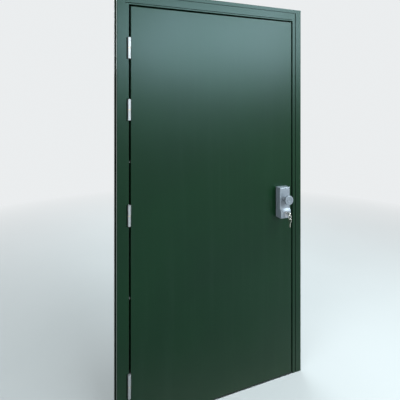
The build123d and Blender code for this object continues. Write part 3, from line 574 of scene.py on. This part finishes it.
def moved(shape, place, towards=UP):
    """Turns a shape made along Z to point another way, and puts it in its place."""
    turn = UP.rotation_difference(Vector(towards)).to_matrix().to_4x4()
    shape.transform(Matrix.Translation(Vector(place)) @ turn)
    return shape


def joined(shapes):
    """One shape from several."""
    whole = bmesh.new()
    for shape in shapes:
        mesh = bpy.data.meshes.new("joined")
        shape.to_mesh(mesh)
        shape.free()
        whole.from_mesh(mesh)
        bpy.data.meshes.remove(mesh)
    return whole


def turned(outline, steps=None):
    """Turned solid about Z, from pairs of radius and height that end on the axis or close a ring."""
    shape = bmesh.new()
    if outline[0][0] > 0:
        points, edges = closed_loop(shape, [(radius, 0, height) for radius, height in outline])
    else:
        points = [shape.verts.new((radius, 0, height)) for radius, height in outline]
        edges = [shape.edges.new(pair) for pair in zip(points, points[1:])]
    bmesh.ops.spin(
        shape,
        geom=points + edges,
        cent=(0, 0, 0),
        axis=(0, 0, 1),
        dvec=(0, 0, 0),
        angle=2 * math.pi,
        steps=steps or bpy.context.scene.door_hardware.turned_steps,
        use_merge=True,
        use_duplicate=False,
    )
    bmesh.ops.remove_doubles(shape, verts=shape.verts, dist=MERGE)
    return shape


def tube_outline(bore, radius, half, lip):
    """Outline of a tube for turned, with a chamfer on its outer rims."""
    outline = [(bore, -half), (radius - lip, -half), (radius, lip - half), (radius, half - lip)]
    return outline + [(radius - lip, half), (bore, half)]


def arc(centre, radius, start, end, steps):
    """Points along an arc, in degrees."""
    points = []
    for number in range(steps + 1):
        angle = math.radians(start + (end - start) * number / steps)
        points.append((centre[0] + radius * math.cos(angle), centre[1] + radius * math.sin(angle)))
    return points


def add_piece(name, shape, node, edge=0.0, sharp=32.0):
    """Makes a shape a finished piece, which rides with a CAD node, takes its slot and stands for it."""
    bmesh.ops.remove_doubles(shape, verts=shape.verts, dist=MERGE)
    bmesh.ops.recalc_face_normals(shape, faces=shape.faces)
    for face in shape.faces:
        face.smooth = True
    for line in shape.edges:
        line.smooth = line.is_manifold and line.calc_face_angle() < math.radians(sharp)
    mesh = bpy.data.meshes.new(name)
    shape.to_mesh(mesh)
    shape.free()
    piece = bpy.data.objects.new(name, mesh)
    bpy.context.scene.collection.objects.link(piece)
    mesh.materials.append(finish_of(slot_of(node)))
    if edge:
        bevel = piece.modifiers.new("edge", "BEVEL")
        bevel.width = edge
        bevel.segments = 2
        bevel.limit_method = "ANGLE"
        bevel.angle_limit = math.radians(sharp)
        bevel.harden_normals = True
    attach(piece, body_of(node))
    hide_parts(node)


def dress(edge, *nodes):
    """Stands for CAD nodes with merged, smoothed copies whose edges are slightly rounded."""
    for node in nodes:
        shape = merged(node)
        bmesh.ops.dissolve_limit(
            shape,
            angle_limit=math.radians(0.5),
            verts=shape.verts,
            edges=shape.edges,
            use_dissolve_boundaries=False,
        )
        add_piece(node + "_finished", shape, node, edge)


def solids_of(node):
    """Lowest and highest corners of each separate solid in a CAD node, from the lowest up."""
    shape = merged(node)
    left = set(shape.verts)
    boxes = []
    while left:
        group = {left.pop()}
        unvisited = list(group)
        while unvisited:
            for line in unvisited.pop().link_edges:
                for vert in line.verts:
                    if vert in left:
                        left.remove(vert)
                        group.add(vert)
                        unvisited.append(vert)
        corners = [[vert.co[axis] for vert in group] for axis in range(3)]
        boxes.append((Vector(map(min, corners)), Vector(map(max, corners))))
    shape.free()
    return sorted(boxes, key=lambda box: (round(box[0].z, 4), box[0].x))


def upright_solids(node):
    """Middle, radius and half height of each upright round solid in a CAD node."""
    return [((low + high) / 2, (high.x - low.x) / 2, (high.z - low.z) / 2) for low, high in solids_of(node)]


LAMP_COLOUR = (0.82, 0.95, 1.0)

# Name, place, the point that it faces, width and height.
LAMPS = (
    ("front", (1.9, -4.6, 2.84), (0.0, 0.0, 1.8), (3.9, 1.42)),
    ("top", (1.9, -1.0, 3.5), (0.2, 0.0, 1.0), (1.6, 1.0)),
    ("side", (-3.6, -2.2, 2.6), (0.2, 0.0, 1.1), (2.4, 2.4)),
    ("back", (0.9, 4.2, 3.2), (0.0, 0.0, 1.0), (4.0, 2.4)),
)


class DOOR_OT_stage(bpy.types.Operator):
    """Set up the camera, the lights, the background and the floor"""

    bl_idname = "door.stage"
    bl_label = "Stage"

    def execute(self, context):
        settings = context.scene.door_stage
        context.scene.view_settings.view_transform = "Standard"
        self.add_camera(context, settings)
        self.add_world(context, settings)
        for name, place, target, size in LAMPS:
            self.add_lamp(context, name + "_light", place, target, size, getattr(settings, name + "_power"))
        self.add_floor(context, settings)
        return {"FINISHED"}

    def add_camera(self, context, settings):
        data = bpy.data.cameras.new("camera")
        data.sensor_fit = "HORIZONTAL"
        data.sensor_width = 36.0
        data.lens = settings.focal_length
        data.shift_y = -settings.horizon_share
        data.clip_end = 100.0
        camera = bpy.data.objects.new("camera", data)
        camera.location = settings.camera_place
        camera.rotation_euler = (math.pi / 2, 0, -settings.camera_yaw)
        context.scene.collection.objects.link(camera)
        context.scene.camera = camera

    def add_world(self, context, settings):
        s = Shader(bpy.data.worlds.new("room"))
        strength = settings.sky_level + (1.0 - settings.sky_level) * s.clear_sight()
        room = s.add("ShaderNodeBackground", {"Color": (*settings.background, 1.0), "Strength": strength})
        context.scene.world = s.end(room, "ShaderNodeOutputWorld")

    def add_lamp(self, context, name, place, target, size, power):
        data = bpy.data.lights.new(name, "AREA")
        data.shape = "RECTANGLE"
        data.size, data.size_y = size
        data.energy = power
        data.color = LAMP_COLOUR
        lamp = bpy.data.objects.new(name, data)
        lamp.location = place
        lamp.rotation_euler = (Vector(target) - Vector(place)).to_track_quat("-Z", "Y").to_euler()
        context.scene.collection.objects.link(lamp)

    def add_floor(self, context, settings):
        shape = bmesh.new()
        beyond_sight = 40.0
        bmesh.ops.create_circle(shape, cap_ends=True, segments=96, radius=beyond_sight)
        mesh = bpy.data.meshes.new("floor")
        shape.to_mesh(mesh)
        shape.free()
        floor = bpy.data.objects.new("floor", mesh)
        context.scene.collection.objects.link(floor)
        mesh.materials.append(self.floor_paint(settings))

    def floor_paint(self, settings):
        """Plain floor that fades into the background far from the door."""
        clean_radius = 1.2
        faded_radius = 4.6
        s = Shader(bpy.data.materials.new("floor_paint"))
        colour = settings.floor_colour
        tone = s.mix(s.noise(1.5, 4.0), shade(colour, 0.97), shade(colour, 1.03))
        inputs = {"Base Color": tone, "Roughness": 0.75, "Specular IOR Level": 0.15}
        paint = s.add("ShaderNodeBsdfPrincipled", inputs)
        x = s.axis("X")
        y = s.axis("Y")
        far = (x * x + y * y).between(clean_radius**2, faded_radius**2)
        glow = s.add("ShaderNodeEmission", {"Color": (*settings.background, 1.0), "Strength": 1.0})
        return s.end(s.add("ShaderNodeMixShader", {0: s.clear_sight() * far, 1: paint, 2: glow}))


class DOOR_OT_coats(bpy.types.Operator):
    """Give every CAD node the finish of its slot"""

    bl_idname = "door.coats"
    bl_label = "Finishes"

    def execute(self, context):
        for name, node in frame["nodes"].items():
            node.data.materials.clear()
            node.data.materials.append(finish_of(slot_of(name)))
        return {"FINISHED"}


class DOOR_OT_seal(bpy.types.Operator):
    """Model the hollow rubber seal round the stop"""

    bl_idname = "door.seal"
    bl_label = "Seal"

    def execute(self, context):
        low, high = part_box("frame_seal")
        shape = bmesh.new()
        loops = []
        for x_side, z_side in ((-1, -1), (1, -1), (1, 1), (-1, 1)):
            points = []
            for inset, y in self.outline(low.y, high.y):
                x = high.x - inset if x_side > 0 else low.x + inset
                z = high.z - inset if z_side > 0 else low.z + inset
                points.append((x, y, z))
            loops.append(closed_loop(shape, points)[1])
        for first, second in zip(loops, loops[1:] + loops[:1]):
            bmesh.ops.bridge_loops(shape, edges=first + second)
        add_piece("rubber_seal", shape, "frame_seal", sharp=50.0)
        return {"FINISHED"}

    def outline(self, front, back):
        """Section of the seal, a foot with a narrower bulb on it, from pairs of inset and Y."""
        wide = 8 * MM
        deep = back - front
        foot = 0.35 * deep
        shoulder = 0.08 * wide
        steps = 10
        outline = [(0.0, back), (0.0, back - foot)]
        for step in range(steps + 1):
            angle = math.pi * step / steps
            across = (wide / 2 - shoulder) * (1 - math.cos(angle))
            outline.append((shoulder + across, back - foot - math.sin(angle) * (deep - foot)))
        return outline + [(wide, back - foot), (wide, back)]


class DOOR_OT_hinges(bpy.types.Operator):
    """Finish the four hinges, and model their pins and washers"""

    bl_idname = "door.hinges"
    bl_label = "Hinges"

    def execute(self, context):
        for number in HINGES:
            leaves = (f"hinge_{number}_frame_leaf", f"hinge_{number}_door_leaf")
            dress(context.scene.door_hardware.edge_round, *leaves)
        pins = []
        for middle, radius, half in upright_solids("hinge_pins"):
            nose = 0.25 * radius
            outline = [(0, -half), (radius - nose, -half), (radius, nose - half)]
            outline += [(radius, half - nose), (radius - nose, half - 0.2 * nose), (0, half)]
            pins.append(moved(turned(outline), middle))
        add_piece("turned_hinge_pins", joined(pins), "hinge_pins", sharp=50.0)
        play = 0.05 * MM
        lip = 0.3 * MM
        bore = upright_solids("hinge_pins")[0][1] + play
        washers = []
        for middle, radius, half in upright_solids("hinge_washers"):
            washers.append(moved(turned(tube_outline(bore, radius, half, lip)), middle))
        add_piece("turned_washers", joined(washers), "hinge_washers")
        return {"FINISHED"}


class DOOR_OT_access_device(bpy.types.Operator):
    """Finish the outside access device and model its knob"""

    bl_idname = "door.access_device"
    bl_label = "Outside access device"

    NECK = 12.5 * MM
    NECK_TOP = 9 * MM

    def execute(self, context):
        edge = context.scene.door_hardware.edge_round
        dress(2 * edge, "access_housing")
        dress(edge, "lock_cylinder")
        dress(0.3 * edge, "cylinder_plug")
        dress(edge, "cylinder_cam")
        self.add_knob(edge)
        return {"FINISHED"}

    def add_knob(self, edge):
        low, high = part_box("access_knob")
        radius = (high.x - low.x) / 2
        grip = 13 * MM
        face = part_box("access_spindle")[0].y - low.y
        outline = self.shank(face - (high.y - low.y))
        outline += self.bell(radius, face - grip)
        outline += self.ringed_face(radius, face)
        place = ((low.x + high.x) / 2, low.y + face, (low.z + high.z) / 2)
        knob = moved(turned(outline, steps=72), place, OUTWARD)
        add_piece("turned_knob", knob, "access_knob", 0.5 * edge, sharp=28.0)

    def shank(self, tail):
        """Stub in the housing, then the collar on its face."""
        play = 0.05 * MM
        gap = 1 * MM
        collar = 16 * MM
        rounding = 1 * MM
        outline = [(0, tail), (self.NECK - play, tail), (self.NECK - play, gap), (collar, gap)]
        outline += arc((collar - rounding, gap + rounding), rounding, 0, 90, 3)
        return outline + [(self.NECK, self.NECK_TOP)]

    def bell(self, radius, rim):
        """Flare from the neck to the rim."""
        steps = 9
        outline = []
        for step in range(1, steps):
            share = step / steps
            flare = (radius - self.NECK) * (1 - math.cos(share * math.pi / 2))
            outline.append((self.NECK + flare, self.NECK_TOP + (rim - self.NECK_TOP) * share))
        return outline + [(radius, rim)]

    def ringed_face(self, radius, face):
        """Rounded rim, and the face with its sunk ring and centre."""
        soft = 3 * MM
        sunk = face - 1.8 * MM
        slope = 0.3 * MM
        outer, inner, centre = 0.66 * radius, 0.50 * radius, 0.25 * radius
        outline = arc((radius - soft, face - soft), soft, 0, 90, 6)
        outline += [(outer + slope, face), (outer, sunk), (inner, sunk), (inner - slope, face)]
        return outline + [(centre + slope, face), (centre, sunk), (0, sunk)]


KEY_CUTS = [depth * MM for depth in (1.1, 2.0, 0.8, 1.7, 1.3)]


def key_outline(length_in, neck, bow_length, bow_height):
    """Key seen from its side, along X: the blade with its cuts, the neck and the bow."""
    blade_height = 7.6 * MM
    corner = 7 * MM
    half = blade_height / 2
    points = [(-length_in, -0.2 * half), (half - length_in, -half), (neck, -half)]
    right = neck + bow_length
    tall = bow_height / 2
    points += arc((neck + corner, corner - tall), corner, 225, 270, 3)
    points += arc((right - corner, corner - tall), corner, 270, 360, 6)
    points += arc((right - corner, tall - corner), corner, 0, 90, 6)
    points += arc((neck + corner, tall - corner), corner, 90, 135, 3)
    points += [(neck, half)]
    shoulder = 3 * MM
    step = (length_in - 2 * shoulder) / len(KEY_CUTS)
    for number, cut in enumerate(KEY_CUTS):
        middle = -shoulder - (number + 0.5) * step
        flat = 0.18 * step
        points += [(middle + 2.2 * flat, half), (middle + flat, half - cut), (middle - flat, half - cut)]
        points += [(middle - 2.2 * flat, half)]
    points += [(half - length_in, half), (-length_in, 0.2 * half)]
    return points


def flat_plate(outline, hole, thickness):
    """Plate in the XY plane, half its thickness each side, with a hole."""
    shape = bmesh.new()
    edges = []
    for points in (outline, hole):
        edges += closed_loop(shape, [(x, y, -thickness / 2) for x, y in points])[1]
    bmesh.ops.triangle_fill(shape, edges=edges, use_beauty=True)
    made = bmesh.ops.extrude_face_region(shape, geom=shape.faces[:])
    bmesh.ops.translate(shape, verts=of_kind(made["geom"], bmesh.types.BMVert), vec=(0, 0, thickness))
    return shape


class DOOR_OT_keys(bpy.types.Operator):
    """Model the two keys with their cuts, and the split ring"""

    bl_idname = "door.keys"
    bl_label = "Keys and ring"

    def execute(self, context):
        edge = context.scene.door_hardware.edge_round
        self.add_key("door_key", 11 * MM, 30 * MM, OUTWARD, UP, edge)
        self.add_key("spare_key", 4.4 * MM, 24 * MM, UP, INWARD, edge)
        self.add_ring(context.scene.door_hardware.ring_turns)
        return {"FINISHED"}

    def add_key(self, node, neck, bow, bow_way, cuts_way, edge):
        """A key that fills its solid's box, its bow pointing one way and its cuts facing another."""
        low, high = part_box(node)
        size = high - low
        length = abs(size.dot(bow_way))
        blade = length - neck - bow
        hole_inset = 5.5 * MM
        hole_radius = 3 * MM
        hole = arc((neck + bow - hole_inset, 0), hole_radius, 0, 345, 23)
        key = flat_plate(key_outline(blade, neck, bow, abs(size.dot(cuts_way))), hole, size.x)
        turn = Matrix((bow_way, cuts_way, TO_LOCK)).transposed().to_4x4()
        key.transform(Matrix.Translation((low + high) / 2 + bow_way * (blade - length / 2)) @ turn)
        add_piece("cut_" + node, key, node, 0.5 * edge)

    def add_ring(self, turns):
        """Flat wire wound into the ring, with its ends one over the other."""
        low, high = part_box("key_ring")
        thick = high.y - low.y
        outer = (high.x - low.x) / 2
        inner = outer - thick
        wire = 0.48 * thick
        soft = 0.25 * wire
        steps = int(turns * 48)
        near, far, low_z, high_z = inner + soft, outer - soft, soft, wire - soft
        section = []
        for number, corner in enumerate(((far, high_z), (near, high_z), (near, low_z), (far, low_z))):
            section += arc(corner, soft, 90 * number, 90 * (number + 1), 3)
        shape = bmesh.new()
        points, edges = closed_loop(shape, [(x, 0, z) for x, z in section])
        made = bmesh.ops.spin(
            shape,
            geom=points + edges,
            cent=(0, 0, 0),
            axis=(0, 0, 1),
            dvec=(0, 0, (thick - wire) / steps),
            angle=2 * math.pi * turns,
            steps=steps,
            use_merge=False,
            use_duplicate=False,
        )
        for end in (edges, of_kind(made["geom_last"], bmesh.types.BMEdge)):
            bmesh.ops.edgeloop_fill(shape, edges=end)
        middle = (low + high) / 2
        moved(shape, (middle.x, low.y, middle.z), INWARD)
        add_piece("split_ring", shape, "key_ring", sharp=40.0)


class DOOR_OT_panic_device(bpy.types.Operator):
    """Finish the push bar, its arms, chassis, covers and hold-back"""

    bl_idname = "door.panic_device"
    bl_label = "Panic device"

    def execute(self, context):
        hardware = context.scene.door_hardware
        dress(hardware.edge_round, "active_cover", "idle_cover", "active_arm", "idle_arm", "hold_back_turn")
        dress(hardware.sheet_round, "active_chassis", "idle_chassis")
        dress(hardware.edge_round, "arm_pivot_pins")
        self.add_bar()
        return {"FINISHED"}

    def add_bar(self):
        low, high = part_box("push_bar_tube")
        radius = (high.y - low.y) / 2
        wall = 2 * MM
        lip = 0.5 * MM
        outline = tube_outline(radius - wall, radius, (high.x - low.x) / 2, lip)
        tube = moved(turned(outline, steps=64), (low + high) / 2, TO_LOCK)
        add_piece("polished_bar", tube, "push_bar_tube")


class DOOR_OT_shoots(bpy.types.Operator):
    """Finish the rocker, the shoots, their guides and keepers"""

    bl_idname = "door.shoots"
    bl_label = "Shoots"

    def execute(self, context):
        hardware = context.scene.door_hardware
        dress(hardware.sheet_round, "rocker", "top_shoot", "bottom_shoot", "shoot_guides")
        dress(hardware.sheet_round, "top_keeper", "bottom_keeper")
        dress(hardware.edge_round, "dog_bolts")
        return {"FINISHED"}


# Node, the way the heads face, radii of shank and head in millimetres, and whether the heads are
# countersunk. The keeper screws have no one way: their heads face the doorway.
SCREWS = (
    ("door_hinge_screws", TO_HINGES, 2.5, 4.8, True),
    ("chassis_screws", INWARD, 2.5, 4.75, False),
    ("guide_screws", INWARD, 2.0, 3.8, False),
    ("access_fixing_bolts", INWARD, 3.0, 5.7, False),
    ("cylinder_screw", DOWN, 2.0, 3.8, True),
    ("keeper_screws", None, 2.0, 3.8, True),
)


def cross_loop(reach, half):
    """Outline of a cross recess."""
    quarter = [(half, reach), (-half, reach), (-half, half)]
    points = []
    for _ in range(4):
        points += quarter
        quarter = [(-y, x) for x, y in quarter]
    return points


def screw(profile, recess, steps=24):
    """Screw about Z, from pairs of radius and height down from the face of its head, with a cross recess."""
    reach = 0.55
    slot = 0.13
    taper = 0.6
    shape = bmesh.new()
    top, height = profile[0]
    place = Matrix.Translation((0, 0, height))
    rim = bmesh.ops.create_circle(shape, segments=steps, radius=top, matrix=place)
    ring = list(dict.fromkeys(line for vert in rim["verts"] for line in vert.link_edges))
    cross = closed_loop(shape, [(x, y, height) for x, y in cross_loop(reach * top, slot * top)])[1]
    bmesh.ops.bridge_loops(shape, edges=ring + cross)
    sunk = bmesh.ops.extrude_edge_only(shape, edges=cross)["geom"]
    floor = of_kind(sunk, bmesh.types.BMVert)
    bmesh.ops.translate(shape, verts=floor, vec=(0, 0, -recess * top))
    bmesh.ops.scale(shape, verts=floor, vec=(taper, taper, 1.0))
    bmesh.ops.edgeloop_fill(shape, edges=of_kind(sunk, bmesh.types.BMEdge))
    for (radius_before, before), (radius, after) in zip(profile, profile[1:]):
        down = bmesh.ops.extrude_edge_only(shape, edges=ring)["geom"]
        verts = of_kind(down, bmesh.types.BMVert)
        ring = of_kind(down, bmesh.types.BMEdge)
        bmesh.ops.translate(shape, verts=verts, vec=(0, 0, after - before))
        bmesh.ops.scale(shape, verts=verts, vec=(radius / radius_before, radius / radius_before, 1.0))
    bmesh.ops.edgeloop_fill(shape, edges=ring)
    return shape


class DOOR_OT_screws(bpy.types.Operator):
    """Model the screws with their cross recesses"""

    bl_idname = "door.screws"
    bl_label = "Screws"

    def execute(self, context):
        recess = context.scene.door_hardware.recess_depth
        for node, way, shank, head, sunk in SCREWS:
            made = []
            for low, high in solids_of(node):
                towards = way or (UP if low.z < cad_box[1].z / 2 else DOWN)
                length = abs((high - low).dot(towards))
                face = (low + high) / 2 + towards * length / 2
                profile = self.profile(length, shank * MM, head * MM, sunk)
                made.append(moved(screw(profile, recess), face, towards))
            add_piece("finished_" + node, joined(made), node)
        return {"FINISHED"}

    def profile(self, length, shank, head, sunk):
        """Pairs of radius and height, from the face of the head down to the tip."""
        tip = 0.4 * MM
        if sunk:
            top = [(head, 0), (shank, shank - head)]
        else:
            rise = 0.8 * shank
            top = [(0.7 * head, 0), (0.93 * head, -0.3 * rise), (head, -rise), (shank, -rise)]
        return top + [(shank, tip - length), (shank - tip, -length)]


class DOOR_PT_panel(bpy.types.Panel):
    """Shows the door's settings and a button for each of its steps"""

    bl_idname = "DOOR_PT_panel"
    bl_label = "Fire exit door"
    bl_space_type = "VIEW_3D"
    bl_region_type = "UI"
    bl_category = "Door"

    def draw(self, context):
        for group in (context.scene.door_finish, context.scene.door_hardware, context.scene.door_stage):
            box = self.layout.box()
            for name in type(group).__annotations__:
                box.prop(group, name)
        for operator in OPERATORS:
            self.layout.operator(operator.bl_idname)


OPERATORS = (
    DOOR_OT_stage,
    DOOR_OT_coats,
    DOOR_OT_seal,
    DOOR_OT_hinges,
    DOOR_OT_access_device,
    DOOR_OT_keys,
    DOOR_OT_panic_device,
    DOOR_OT_shoots,
    DOOR_OT_screws,
)
SETTINGS = (FinishSettings, HardwareSettings, StageSettings)


def register():
    for part in (*SETTINGS, *OPERATORS, DOOR_PT_panel):
        bpy.utils.register_class(part)
    bpy.types.Scene.door_finish = PointerProperty(type=FinishSettings)
    bpy.types.Scene.door_hardware = PointerProperty(type=HardwareSettings)
    bpy.types.Scene.door_stage = PointerProperty(type=StageSettings)


def unregister():
    del bpy.types.Scene.door_finish
    del bpy.types.Scene.door_hardware
    del bpy.types.Scene.door_stage
    for part in reversed((*SETTINGS, *OPERATORS, DOOR_PT_panel)):
        bpy.utils.unregister_class(part)


def main():
    register()
    for operator in OPERATORS:
        group, name = operator.bl_idname.split(".")
        getattr(getattr(bpy.ops, group), name)()


if __name__ == "__main__":
    main()
